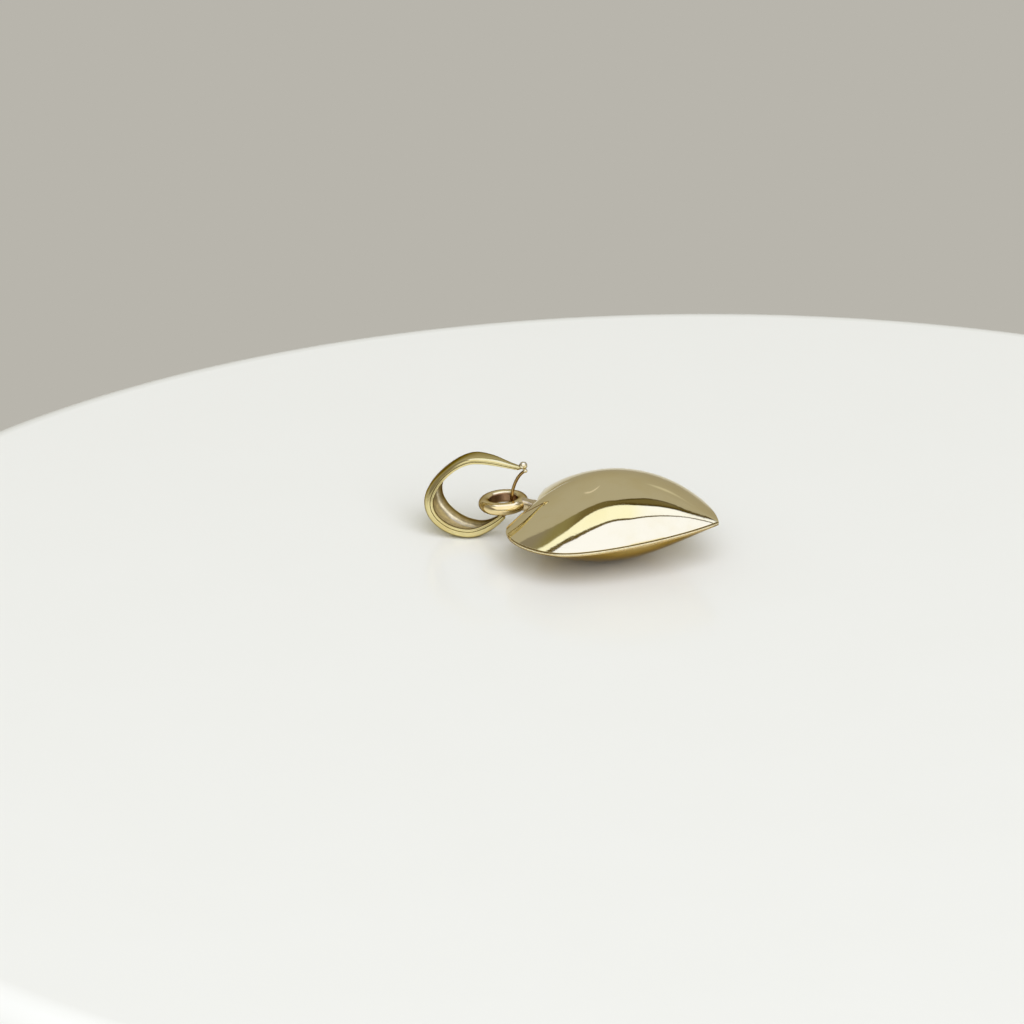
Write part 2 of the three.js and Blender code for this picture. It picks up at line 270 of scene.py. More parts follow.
@dataclass(frozen=True)
class GoldFinish:
    """A polished gold surface with its tint, haze, ripple and fine wear."""

    name: str
    colour: Colour
    tarnish: Colour
    roughness: float
    haze: float = 0.02
    haze_size: float = 0.8
    ripple: float = 0.0004
    ripple_size: float = 0.3
    scratches: float = 0.25
    scratch_turn: float = 20.0
    scratch_size: float = 0.35
    scratch_stretch: float = 0.12
    scratch_width: float = 0.012
    scratch_haze: float = 0.12
    scratch_depth: float = 0.1
    patch_size: float = 1.9
    patch_range: Point = (0.42, 0.72)
    streak_size: float = 0.22
    streak_gain: float = 0.8
    streak_least: float = 0.6
    edge_tint: Colour = (0.95, 0.92, 0.85)
    # Zones of painted shade, each a darker colour on duller metal.
    dull: tuple[DullPaintedShade | MarkedPaintedShade, ...] = ()

    def material(self) -> bpy.types.Material:
        """Builds the finish.

        Returns:
            The material, made once for each name.
        """
        made = bpy.data.materials.get(self.name)
        if made is None:
            made = bpy.data.materials.new(self.name)
            made.use_nodes = True
            self._fill(Bench(made.node_tree))
        return made

    def _fill(self, bench: Bench) -> None:
        """Draws the node tree.

        Args:
            bench: The empty tree.
        """
        place = bench.add("ShaderNodeTexCoord").outputs["Object"]
        patches = bench.step(bench.noise(place, self.patch_size, 3.0), *self.patch_range)
        colour = bench.mix(patches, self.colour, self.tarnish)
        lines = self._scratch_lines(bench, place)
        smear = bench.times(bench.noise(place, self.haze_size, 4.0), self.haze)
        rough = bench.maths("ADD", smear, self.roughness - self.haze / 2)
        rough = bench.maths("MULTIPLY_ADD", lines, self.scratch_haze * self.scratches, rough)
        # Each zone lays painted shade: its darker colour, streaked, on rougher metal.
        for zone in self.dull:
            mask = zone.mask(bench, place)
            streaks = bench.noise(place, self.streak_size, 3.0)
            streaks = bench.maths("MULTIPLY_ADD", streaks, self.streak_gain, self.streak_least)
            dark = bench.vectors("SCALE", {0: zone.colour, "Scale": streaks})["Vector"]
            colour = bench.mix(mask, colour, dark)
            rough = bench.maths("MULTIPLY_ADD", mask, zone.roughness - self.roughness, rough)
        ripple = bench.noise(place, self.ripple_size, 1.0)
        height = bench.maths("MULTIPLY_ADD", lines, -self.scratch_depth * self.scratches, ripple)
        bump = bench.add("ShaderNodeBump", {"Strength": 1.0, "Distance": self.ripple * MM, "Height": height})
        shader = bench.add("ShaderNodeBsdfPrincipled", {
            "Metallic": 1.0,
            "Specular Tint": (*self.edge_tint, 1.0),
            "Base Color": colour,
            "Roughness": rough,
            "Normal": bump.outputs["Normal"],
        })
        bench.add("ShaderNodeOutputMaterial", {"Surface": shader.outputs["BSDF"]})

    def _scratch_lines(self, bench: Bench, place: Socket) -> Socket:
        """Draws hairlines as the ridges of a stretched noise.

        Args:
            bench: The tree.
            place: The socket of the place.

        Returns:
            A socket that is 1 on a hairline and 0 beside it.
        """
        turned = bench.add("ShaderNodeMapping", {
            "Vector": place,
            "Rotation": (0.0, 0.0, math.radians(self.scratch_turn)),
            "Scale": (self.scratch_stretch, 1.0, 1.0),
        })
        ridges = bench.noise(turned.outputs["Vector"], self.scratch_size, 2.0)
        return bench.step(bench.apart(ridges, 0.5), self.scratch_width, 0.0)


SHELL_GOLD = GoldFinish(
    "mirror_shell", (0.87, 0.765, 0.475), (0.85, 0.735, 0.43), 0.035, edge_tint=(0.8, 0.75, 0.62))
# The back shell's darker gold is painted shade, the shadowed plate under the heart seen in it; its scratches
# and haze are real wear.
SHADED_BACK_GOLD = GoldFinish(
    "worn_back_painted_shade", (0.60, 0.47, 0.24), (0.53, 0.39, 0.18), 0.07, scratches=0.5, edge_tint=(0.52, 0.42, 0.24))
# The seam's dark band above the middle plane is painted shade: the dark line in the groove under the front
# shell's rim.
SEAM_GOLD = GoldFinish(
    "filed_seam", (0.90, 0.80, 0.52), (0.84, 0.70, 0.40), 0.12, ripple=0.001, ripple_size=0.16,
    dull=(DullPaintedShade(Shape.PLANE, HEART_MIDDLE, HEART_UP, 0.039, 0.003, (0.20, 0.145, 0.05), 0.35),))
# The ring's own warmer gold, made paler as painted light for its white highlight; the dark band on its flat
# inner wall is painted shade, the dark inside the ring's hole.
RING_GOLD = GoldFinish(
    "polished_ring", (0.94, 0.80, 0.47), (0.83, 0.63, 0.30), 0.06, scratch_turn=70.0,
    edge_tint=(0.2, 0.12, 0.04),
    dull=(DullPaintedShade(Shape.LINE, RING_MIDDLE, HEART_UP, 0.885, 0.015, (0.38, 0.23, 0.13), 0.33),))
NECK_GOLD = GoldFinish(
    "flowed_solder", (0.68, 0.57, 0.37), (0.61, 0.49, 0.29), 0.16, ripple=0.001, ripple_size=0.3)
# The strap's marked hollow and grooves are painted shade: a greyer, duller hollow, and dark lines in the flank
# grooves and along the lips' inner edges.
STRAP_GOLD = GoldFinish(
    "polished_strap", (0.80, 0.70, 0.36), (0.73, 0.61, 0.28), 0.05, scratch_turn=-35.0,
    edge_tint=(0.22, 0.15, 0.05),
    dull=(MarkedPaintedShade("hollow", (0.72, 0.64, 0.43), 0.34), MarkedPaintedShade("groove", (0.22, 0.15, 0.04), 0.3)))
# The tail's dark gold is painted shade, the dark that it passes through in the ring's hole.
SHADED_TAIL_GOLD = GoldFinish(
    "drawn_tail_painted_shade", (0.46, 0.31, 0.12), (0.30, 0.19, 0.06), 0.16, edge_tint=(0.2, 0.13, 0.04))
# The beads' pale gold is painted light, whitened as the bright light that they reflect.
LIT_BEAD_GOLD = GoldFinish(
    "melted_bead_painted_light", (0.95, 0.89, 0.70), (0.91, 0.81, 0.54), 0.06, ripple=0.001, ripple_size=0.2,
    edge_tint=(0.08, 0.05, 0.01))


def solid(name: str, points: np.ndarray, faces: Sequence[Sequence[int]], crease: float) -> Piece:
    """Makes a smooth object from points and faces.

    Args:
        name: The object's name.
        points: Points in the row frame, in millimetres.
        faces: The corners of each face, counter-clockwise from outside.
        crease: Edges that turn by more than this many degrees stay sharp.

    Returns:
        The object, linked to the scene at the origin.
    """
    mesh = bpy.data.meshes.new(name)
    mesh.from_pydata((np.asarray(points) * MM).tolist(), [], [list(f) for f in faces])
    mesh.validate()
    return finished(name, mesh, crease)


def linked(name: str, mesh: bpy.types.Mesh) -> Piece:
    """Wraps a mesh in an object and links it to the scene at the origin."""
    made = bpy.data.objects.new(name, mesh)
    bpy.context.scene.collection.objects.link(made)
    return made


def finished(name: str, mesh: bpy.types.Mesh, crease: float) -> Piece:
    """Wraps a mesh in an object with smooth shading and sharp creases.

    Args:
        name: The object's name.
        mesh: Its mesh.
        crease: Edges that turn by more than this many degrees stay sharp.

    Returns:
        The object, linked to the scene at the origin.
    """
    mesh.shade_smooth()
    mesh.set_sharp_from_angle(angle=math.radians(crease))
    return linked(name, mesh)


def loft(start: np.ndarray, rings: np.ndarray, end: np.ndarray) -> tuple[np.ndarray, list[tuple[int, ...]]]:
    """Joins rings of points into a closed body with a point at each end.

    Args:
        start: The point before the first ring.
        rings: Rows of rings of points, each counter-clockwise when looked at along the row.
        end: The point after the last ring.

    Returns:
        The points and the faces.
    """
    rows, count = rings.shape[:2]
    points = np.vstack([start[None], rings.reshape(-1, 3), end[None]])
    last = len(points) - 1
    faces: list[tuple[int, ...]] = []
    for j in range(count):
        after = (j + 1) % count
        faces.append((0, 1 + j, 1 + after))
        for i in range(rows - 1):
            a = 1 + i * count
            b = a + count
            faces.append((a + j, b + j, b + after, a + after))
        faces.append((last - count + j, last, last - count + after))
    return points, faces


@dataclass(frozen=True)
class PathSweep:
    """A section drawn along a path with geometry nodes."""

    section: np.ndarray
    swell: float = 0.0
    swell_fall: float = 6.0
    closed: bool = False

    def tree(self) -> bpy.types.GeometryNodeTree:
        """Builds the tree, with the section and its sizes as its named inputs.

        Returns:
            A tree that turns a path of edges into a wire.
        """
        tree = bpy.data.node_groups.new("section_along_path", "GeometryNodeTree")
        for name, way, kind in (
            ("Geometry", "INPUT", "Geometry"), ("Section", "INPUT", "Object"), ("Finish", "INPUT", "Material"),
            ("Start Swell", "INPUT", "Float"), ("Geometry", "OUTPUT", "Geometry"),
        ):
            tree.interface.new_socket(name, in_out=way, socket_type="NodeSocket" + kind)
        bench = Bench(tree)
        given = bench.add("NodeGroupInput").outputs
        way = bench.add("GeometryNodeSplineParameter").outputs["Factor"]
        rest = bench.maths("POWER", bench.maths("SUBTRACT", 1.0, way), self.swell_fall)
        size = bench.maths("MULTIPLY_ADD", rest, given["Start Swell"], 1.0)
        cut = bench.add("GeometryNodeObjectInfo", {"Object": given["Section"]}).outputs["Geometry"]
        section = bench.through(cut, "GeometryNodeMeshToCurve")
        flow = bench.through(given["Geometry"], "GeometryNodeMeshToCurve")
        mode = "Z_UP" if self.closed else "MINIMUM_TWIST"
        flow = bench.through(flow, "GeometryNodeSetCurveNormal", mode=mode)
        flow = bench.through(flow, "GeometryNodeSetCurveRadius", {"Radius": size})
        flow = bench.through(flow, "GeometryNodeCurveToMesh", {"Profile Curve": section, "Fill Caps": True})
        flow = bench.through(flow, "GeometryNodeRealizeInstances")
        flow = bench.through(flow, "GeometryNodeSetMaterial", {"Material": given["Finish"]})
        bench.add("NodeGroupOutput", {"Geometry": flow})
        return tree

    @staticmethod
    def _edges(name: str, points: np.ndarray, closed: bool) -> Piece:
        """Makes an object of edges that join points in order.

        Args:
            name: The object's name.
            points: Points in millimetres.
            closed: Whether the last one is joined to the first.

        Returns:
            The object, linked to the scene.
        """
        count = len(points)
        line = bpy.data.meshes.new(name)
        edges = [(i, (i + 1) % count) for i in range(count if closed else count - 1)]
        line.from_pydata((np.asarray(points) * MM).tolist(), edges, [])
        return linked(name, line)

    def draw(self, name: str, path: np.ndarray, finish: GoldFinish, crease: float = 60.0) -> Piece:
        """Draws the section along a path.

        Args:
            name: The name of the piece.
            path: Points in the row frame, in millimetres.
            finish: The gold of the piece.
            crease: Edges that turn by more than this many degrees stay sharp.

        Returns:
            The piece as a plain mesh.
        """
        flat = np.column_stack([self.section, np.zeros(len(self.section))])
        section = self._edges(name + "_section", flat, True)
        rough = self._edges(name + "_path", path, self.closed)
        tree = self.tree()
        modifier = rough.modifiers.new("sweep", "NODES")
        modifier.node_group = tree
        values = {"Section": section, "Start Swell": self.swell, "Finish": finish.material()}
        for item in tree.interface.items_tree:
            if item.item_type == "SOCKET" and item.in_out == "INPUT" and item.name in values:
                modifier[item.identifier] = values[item.name]
        seen = rough.evaluated_get(bpy.context.evaluated_depsgraph_get())
        mesh = bpy.data.meshes.new_from_object(seen)
        mesh.name = name
        bpy.data.objects.remove(rough)
        bpy.data.objects.remove(section)
        bpy.data.node_groups.remove(tree)
        work = bmesh.new()
        work.from_mesh(mesh)
        bmesh.ops.remove_doubles(work, verts=work.verts, dist=1e-8)
        bmesh.ops.recalc_face_normals(work, faces=work.faces)
        work.to_mesh(mesh)
        work.free()
        return finished(name, mesh, crease)


def round_section(diameter: float, sides: int) -> np.ndarray:
    """The section of a round wire, as rows of flat points."""
    angle = np.linspace(0, 2 * math.pi, sides, endpoint=False)
    return np.column_stack([np.cos(angle), np.sin(angle)]) * diameter / 2


def hand_over(piece: Piece, body: str, node: str, finish: GoldFinish) -> None:
    """Gives a piece its gold and its body, and hides the solid that it stands for.

    Args:
        piece: The piece.
        body: The body that it rides on.
        node: The CAD node that it replaces.
        finish: Its gold.
    """
    if not piece.data.materials:
        piece.data.materials.append(finish.material())
    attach(piece, body)
    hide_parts(node)
    log.info("%s: %d faces for %s", piece.name, len(piece.data.polygons), node)


class Half(Enum):
    """The two shells of the heart."""

    FRONT = 1.0
    BACK = -1.0


@dataclass
class HollowHeart:
    """The heart: two thin shells with a filed line of solder between their rims."""

    length: float = 12.87
    width: float = 13.88
    cleft_depth: float = 1.03
    lobe_spacing: float = 6.12
    widest_place: float = 4.77
    tip_half_angle: float = 65.6
    cleft_angle: float = 143.0
    cleft_pull: float = 0.75
    lobe_inner_pull: float = 0.5
    lobe_outer_pull: float = 0.47
    flank_pull: float = 0.31
    tip_pull: float = 0.35
    dome_height: float = 2.64
    sheet: float = 0.2
    rim_land: float = 0.36
    dome_power: float = 1.44
    crown_rounding: float = 0.16
    dome_centre: float = 0.46
    crown_shift: float = 0.03
    outline_melt: float = 1.83
    seam_height: float = 0.07
    seam_proud: float = 0.03
    seam_width: float = 0.3
    rim_foot: float = 0.135
    rim_roll: float = 0.035
    roll_angles: tuple[float, ...] = (30.0, 60.0, 90.0)
    groove: float = 0.04
    lip_shape: tuple[Point, ...] = ((1.0, 0.3), (0.7, 0.75), (0.0, 1.0))
    groove_shape: tuple[Point, ...] = ((-0.8, 1.1), (-1.0, 1.3))
    steps: tuple[int, int, int] = (36, 40, 64)
    levels: int = 96
    inner_levels: int = 14
    lie: Placement = Placement(0.0, -4.6, HEART_MIDDLE)

    def half_outline(self) -> np.ndarray:
        """One side of the outline, from the cleft round the lobe to the tip.

        Returns:
            Rows of flat points.
        """
        cleft = np.array([self.cleft_depth, 0.0])
        lobe = np.array([0.0, self.lobe_spacing / 2])
        side = np.array([self.widest_place, self.width / 2])
        tip = np.array([self.length, 0.0])
        lobe_run = side[1] - lobe[1]
        flank_run = tip[0] - side[0]
        curves = (
            Stretch(cleft, heading(self.cleft_angle, self.cleft_pull * self.cleft_depth),
                    lobe, np.array([0.0, -self.lobe_inner_pull * lobe[1]])),
            Stretch(lobe, np.array([0.0, self.lobe_outer_pull * lobe_run]),
                    side, np.array([-self.lobe_outer_pull * side[0], 0.0])),
            Stretch(side, np.array([self.flank_pull * flank_run, 0.0]),
                    tip, heading(180 - self.tip_half_angle, self.tip_pull * flank_run)),
        )
        rows = [curve.at(np.linspace(0, 1, n, endpoint=False)) for curve, n in zip(curves, self.steps)]
        return np.vstack([*rows, tip])

    def outline(self, grow: float = 0.0) -> np.ndarray:
        """The whole outline, counter-clockwise from the tip.

        Args:
            grow: How far it is moved outward.

        Returns:
            Rows of flat points.
        """
        half = self.half_outline()
        loop = np.vstack([half[::-1], half[1:-1] * [1, -1]])
        along = np.roll(loop, -1, axis=0) - np.roll(loop, 1, axis=0)
        along /= np.linalg.norm(along, axis=1)[:, None]
        return loop + np.column_stack([along[:, 1], -along[:, 0]]) * grow

    def fall(self, level: np.ndarray) -> np.ndarray:
        """The share of the dome's height that is lost at each level.

        Args:
            level: Levels from 0 at the crown to 1 at the rim.

        Returns:
            One share for each level.
        """
        def curve(t: np.ndarray) -> np.ndarray:
            """The dome's profile before it is set to run from 0 to 1."""
            return (t * t + self.crown_rounding**2) ** (self.dome_power / 2)

        low, high = curve(np.array(0.0)), curve(np.array(1.0))
        return (curve(level) - low) / (high - low)

    def dome(self, grow: float, base: float, height: float, levels: int) -> tuple[np.ndarray, np.ndarray]:
        """Rings of a dome over the outline, rim first, and its crown.

        Args:
            grow: How far the outline is moved outward.
            base: The height of the rim.
            height: The height of the crown over the rim.
            levels: The number of rings.

        Returns:
            The rings and the crown's point.
        """
        middle = np.array([self.dome_centre * self.length, 0.0])
        arms = self.outline(grow) - middle
        reach = np.linalg.norm(arms, axis=1)
        arms /= reach[:, None]
        level = (1 - np.arange(levels) / levels)[:, None]
        share = level**self.outline_melt
        radius = level * (share * reach + (1 - share) * (self.width / 2 + grow))
        shift = self.crown_shift * self.length * (1 - level**2)
        x = middle[0] - shift + arms[:, 0] * radius
        y = arms[:, 1] * radius
        z = np.broadcast_to(base + height * (1 - self.fall(level)), x.shape)
        crown = np.array([middle[0] - self.crown_shift * self.length, 0.0, base + height])
        return np.dstack([x, y, z]), crown

    def rim(self, grow: float, height: float) -> np.ndarray:
        """A level ring along the outline moved outward, at a height over the heart's middle plane."""
        flat = self.outline(grow)
        return np.column_stack([flat, np.full(len(flat), height)])

    def shell(self, half: Half) -> Piece:
        """Builds one thin shell with a softly rolled rim.

        Args:
            half: Which shell it is.

        Returns:
            The shell as an object.
        """
        foot, roll = self.rim_foot, self.rim_roll
        outer, crown = self.dome(0.0, foot, self.dome_height - foot, self.levels)
        base = foot - roll
        inner, roof = self.dome(
            -self.rim_land, base, self.dome_height - base - self.sheet, self.inner_levels)
        turned = [self.rim(-roll * (1 - math.cos(a)), foot - roll * math.sin(a))
                  for a in np.radians(self.roll_angles)]
        rows = np.concatenate([outer[::-1], np.array(turned), inner])
        points, faces = loft(crown, rows, roof)
        if half is Half.BACK:
            points = points * [1, -1, -1]
        name = "heart_shell_front" if half is Half.FRONT else "heart_shell_back"
        return solid(name, self.lie.place(points), faces, 60.0)

    def seam(self) -> Piece:
        """Draws the line of solder round the outline: a filed lip on a core that lies deeper.

        Returns:
            The seam as an object.
        """
        lip, proud, deep = self.seam_height / 2, self.seam_proud, self.groove
        core, back = self.rim_foot - self.rim_roll / 2, self.seam_width / 2
        upper = [(x * proud, y * lip) for x, y in self.lip_shape]
        upper += [(x * deep, y * lip) for x, y in self.groove_shape]
        upper += [(-deep, core), (-back, core)]
        section = np.array([(x, -y) for x, y in reversed(upper)] + upper)
        wire = PathSweep(section, closed=True)
        return wire.draw("solder_seam", self.lie.place(self.rim(0.0, 0.0)), SEAM_GOLD, 40.0)

    def build(self) -> None:
        """Makes and dresses the shells and the seam."""
        hand_over(self.shell(Half.FRONT), "heart", "heart_front_shell", SHELL_GOLD)
        hand_over(self.shell(Half.BACK), "heart", "heart_back_shell", SHADED_BACK_GOLD)
        hand_over(self.seam(), "heart", "seam_solder", SEAM_GOLD)


@dataclass(frozen=True)
class NeckSize:
    """A size of the neck: at its start, at some places on the way and at its end."""

    places: tuple[float, ...]
    sizes: tuple[float, ...]
    smoothing: int = 7

    def at(self, along: np.ndarray) -> np.ndarray:
        """The size at each place, smoothed over its neighbours."""
        size = np.interp(along, [along[0], *self.places, along[-1]], self.sizes)
        size = np.pad(size, self.smoothing // 2, mode="edge")
        return np.convolve(size, np.ones(self.smoothing) / self.smoothing, "valid")


@dataclass
class EyeRing:
    """The ring of half-round wire and the solder that joins it to the cleft."""

    heart: HollowHeart
    radius: float = 1.16
    wire: float = 0.8
    flat: float = 0.3
    lift: float = 0.33
    reach: float = 0.02
    neck_start: float = 1.0
    neck_end: float = 1.86
    neck_lift: NeckSize = NeckSize((0.0, 1.2), (0.33, 0.30, 0.02, 0.0))
    neck_height: NeckSize = NeckSize((-0.35, 0.1, 0.9), (0.30, 0.41, 0.37, 0.42, 0.06))
    neck_width: NeckSize = NeckSize((-0.3, 0.15, 0.95), (0.26, 0.38, 0.36, 0.62, 0.06))
    neck_fullness: float = 0.72
    neck_tip: float = 0.03
    neck_steps: int = 44
    sides: int = 56
    steps: int = 180

    def centre(self) -> np.ndarray:
        """The middle of the ring in the heart's own frame."""
        return np.array([self.reach - self.radius - self.wire / 2, 0.0, self.lift])

    def ring(self) -> Piece:
        """Draws the ring, round outside and flat inside.

        Returns:
            The ring as an object.
        """
        angle = np.linspace(0, 2 * math.pi, self.steps, endpoint=False)
        circle = np.column_stack([np.cos(angle), np.sin(angle), np.zeros(self.steps)])
        path = self.centre() + circle * self.radius
        section = round_section(self.wire, self.sides)
        section[:, 0] = np.maximum(section[:, 0], -self.flat)
        wire = PathSweep(section, closed=True)
        return wire.draw("wire_ring", self.heart.lie.place(path), RING_GOLD, 30.0)

    def neck(self) -> Piece:
        """Builds the neck, which clasps the wire and ends hidden inside the shells.

        Returns:
            The neck as an object.
        """
        start = self.centre()[0] + self.neck_start
        along = np.linspace(start, self.neck_end, self.neck_steps)
        lift, high, wide = (size.at(along) for size in (self.neck_lift, self.neck_height, self.neck_width))
        angle = np.linspace(0, 2 * math.pi, self.sides, endpoint=False)
        rings = np.dstack([
            np.broadcast_to(along[:, None], (len(along), len(angle))),
            wide[:, None] * fuller(np.cos(angle), self.neck_fullness),
            lift[:, None] + high[:, None] * fuller(np.sin(angle), self.neck_fullness),
        ])
        first = np.array([start - self.neck_tip, 0.0, lift[0]])
        last = np.array([self.neck_end + self.neck_tip, 0.0, lift[-1]])
        points, faces = loft(first, rings, last)
        return solid("solder_neck", self.heart.lie.place(points), faces, 60.0)

    def build(self) -> None:
        """Makes and dresses the ring and its neck."""
        hand_over(self.ring(), "ring", "eye_ring", RING_GOLD)
        hand_over(self.neck(), "heart", "eye_ring_solder", NECK_GOLD)


@dataclass(frozen=True)
class Girth:
    """The width, flank depth and crown rise of the strap at one place."""

    width: float
    flank: float
    rise: float


@dataclass
class LeafBail:
    """The bail: a domed strap that closes with a tail and two melted beads."""

    reach: float = 4.21
    rise: float = 2.72
    drop: float = 1.68
    top_place: float = 1.56
    crown_place: float = 0.06
    bottom_place: float = 2.0
    tip_place: float = 0.95
    tip_dip: float = 0.35
    end_place: float = 0.1
    end_drop: float = 0.76
    tip_pull: Point = (0.48, 0.5)
    top_pulls: Point = (0.4, 0.44)
    crown_pulls: Point = (0.42, 0.55)
    bottom_pulls: Point = (0.5, 0.37)
    end_pull: Point = (0.26, 0.47)
    strap_sheet: float = 0.25
    lip: float = 0.2
    back_fullness: float = 2 / 2.5
    hollow_fullness: float = 2 / 4.5
    girths: tuple[Girth, ...] = (
        Girth(0.36, 0.22, 0.03),
        Girth(0.90, 0.30, 0.08),
        Girth(1.35, 0.33, 0.10),
        Girth(1.85, 0.34, 0.08),
        Girth(2.62, 0.62, 0.10),
        Girth(2.45, 0.68, 0.10),
        Girth(1.80, 0.62, 0.10),
        Girth(0.95, 0.48, 0.08),
        Girth(0.34, 0.34, 0.03),
    )
    tail_wire: float = 0.2
    tail_place: float = 0.53
    tail_lean: float = 33.0
    tip_bead: float = 0.55
    tail_bead: float = 0.3
    bead_seat: float = 0.2
    bead_angle: float = 70.0
    bead_gap: float = 0.03
    bead_melt: float = 0.06
    nose_run: float = 0.27
    nose_rise: float = 0.12
    nose_shrink: float = 0.35
    nose_steps: int = 6
    edge_round: float = 0.035
    border: float = 0.17
    groove_width: float = 0.05
    groove_depth: float = 0.03
    groove_floor: float = 0.4
    most_lip: float = 0.45
    most_round: float = 0.2
    least_hollow: float = 0.1
    waist: float = 0.42
    waist_gap: float = 1.2
    lip_shares: Point = (0.6, 0.45)
    inner_round: float = 0.3
    section_steps: tuple[int, int, int] = (6, 18, 25)
    end_tip: float = 0.02
    tail_root: float = 0.08
    tail_sunk: float = 0.5
    tail_pulls: tuple[float, ...] = (0.4, 0.35, 0.45, 0.22)
    tail_steps: int = 40
    tail_sides: int = 20
    tail_swell: float = 0.5
    bead_steps: tuple[int, int] = (28, 48)
    bead_leans: Point = (200.0, 110.0)
    bead_stretch: float = 0.1
    lump_depth: float = 0.03
    lump_waves: Point = (3.0, 2.5)
    lump_shift: float = 1.0
    stations: int = 260
    lie: Placement = Placement(8.0, 0.15611, (-4.734678, -0.073761, 2.394542))

    def lines(self) -> tuple[Stretch, ...]:
        """The inside line of the strap, from its tip over the top and round to its lower end."""
        tip = np.array([self.tip_place, self.rise - self.tip_dip])
        top = np.array([-self.top_place, self.rise])
        crown = np.array([-self.reach, self.crown_place])
        bottom = np.array([-self.bottom_place, -self.drop])
        end = np.array([-self.end_place, -self.end_drop])
        tip_run = tip[0] - top[0]
        top_run = top[0] - crown[0]
        bottom_run = bottom[0] - crown[0]
        end_run = end[0] - bottom[0]
        (tip_run_pull, tip_dip_pull), (top_from_tip, top_to_crown) = self.tip_pull, self.top_pulls
        (crown_up, crown_down), (bottom_back, bottom_on) = self.crown_pulls, self.bottom_pulls
        return (
            Stretch(tip, np.array([-tip_run_pull * tip_run, tip_dip_pull * self.tip_dip]),
                    top, np.array([top_from_tip * tip_run, 0.0])),
            Stretch(top, np.array([-top_to_crown * top_run, 0.0]),
                    crown, np.array([0.0, crown_up * (top[1] - crown[1])])),
            Stretch(crown, np.array([0.0, crown_down * (bottom[1] - crown[1])]),
                    bottom, np.array([-bottom_back * bottom_run, 0.0])),
            Stretch(bottom, np.array([bottom_on * end_run, 0.0]),
                    end, np.array([-self.end_pull[0] * end_run, self.end_pull[1] * (bottom[1] - end[1])])),
        )

    def station(self, share: float) -> tuple[np.ndarray, np.ndarray, np.ndarray]:
        """A place on the strap's inside line.

        Args:
            share: The share of the way from the tip to the lower end.

        Returns:
            The place, the direction of travel and the outward direction.
        """
        lines = self.lines()
        way = share * len(lines)
        index = min(int(way), len(lines) - 1)
        rest = np.array([way - index])
        along = lines[index].along(rest)[0]
        return lines[index].at(rest)[0], along, np.array([along[1], -along[0]])

    def girth(self, share: float) -> tuple[float, float, float]:
        """The strap's sizes at a share of the way round, on a smooth curve through the girths.

        Args:
            share: The share of the way from the tip to the lower end.

        Returns:
            The width, the flank's depth and the crown's rise.
        """
        sizes = np.array([[g.width, g.flank, g.rise] for g in self.girths])
        sizes = np.vstack([2 * sizes[0] - sizes[1], sizes, 2 * sizes[-1] - sizes[-2]])
        place = share * (len(self.girths) - 1)
        i = min(int(place), len(self.girths) - 2)
        t = place - i
        a, b, c, d = sizes[i:i + 4]
        width, flank, rise = 0.5 * (
            2 * b + (c - a) * t + (2 * a - 5 * b + 4 * c - d) * t * t + (3 * b - a - 3 * c + d) * t**3
        )
        return width, flank, rise

    def section(self, width: float, flank: float, rise: float) -> np.ndarray:
        """The strap's section: lips, a border line on each flank, a domed back and a flat hollow inside.

        Args:
            width: The width over the flanks.
            flank: The depth of the flanks.
            rise: The rise of the domed back.

        Returns:
            Rows of two flat places, counter-clockwise, a mark for painted shade in the hollow and a mark for
            painted shade lines in the grooves and along the lips' inner edges.
        """
        half = width / 2
        lip = min(self.lip, self.most_lip * half)
        soft = min(self.edge_round, self.most_round * flank)
        hollow = max(flank + rise - self.strap_sheet, self.least_hollow * flank)
        arc, bend, inner_arc = (np.radians(np.linspace(start, end, count)) for (start, end), count in zip(
            ((-90, 0), (0, 90), (180, 0)), self.section_steps))
        corner = np.column_stack([half - soft + soft * np.cos(arc), soft + soft * np.sin(arc)])
        line = min(self.border, self.most_lip * flank)
        wide, deep = self.groove_width / 2, self.groove_depth
        floor = self.groove_floor * wide
        groove = np.array([(half, line - wide), (half - deep, line - floor),
                           (half - deep, line + floor), (half, line + wide)])
        waist = max(self.waist * flank, line + self.waist_gap * wide)
        back = np.column_stack([
            half * fuller(np.cos(bend), self.back_fullness),
            waist + (flank + rise - waist) * fuller(np.sin(bend), self.back_fullness),
        ])
        right = np.vstack([corner, groove, back])
        left = right[:-1][::-1] * [-1, 1]
        inner_half = half - lip
        inner = np.column_stack([
            inner_half * fuller(np.cos(inner_arc), self.hollow_fullness),
            hollow * fuller(np.sin(inner_arc), self.hollow_fullness),
        ])
        turn = self.inner_round * soft
        lip_left = np.array([
            *([-(inner_half + share * lip), 0.0] for share in self.lip_shares),
            [-(inner_half + turn), 0.0],
            [-inner_half, turn],
        ])
        lip_right = lip_left[::-1] * [-1, 1]
        flat = np.vstack([right, left, lip_left, inner[1:-1], lip_right])
        # The marks lay painted shade: over the hollow, and as dark lines in each groove and along the lips'
        # inner edges.
        marks = np.zeros((len(flat), 2))
        first = len(right) + len(left) + len(lip_left)
        last = first + len(inner) - 2
        marks[first:last, 0] = 1.0
        for at in (len(corner), len(right) + len(left) - len(corner) - len(groove)):
            marks[at + 1:at + 3, 1] = 1.0
        marks[first - 3:first, 1] = 1.0
        marks[last:last + 3, 1] = 1.0
        return np.hstack([flat, marks])

    @staticmethod
    def _upright(at: np.ndarray, out: np.ndarray, flat: np.ndarray) -> np.ndarray:
        """Stands a flat section up at a place of the loop, along the outward direction there."""
        return np.column_stack([at[0] + out[0] * flat[:, 1], flat[:, 0], at[1] + out[1] * flat[:, 1]])

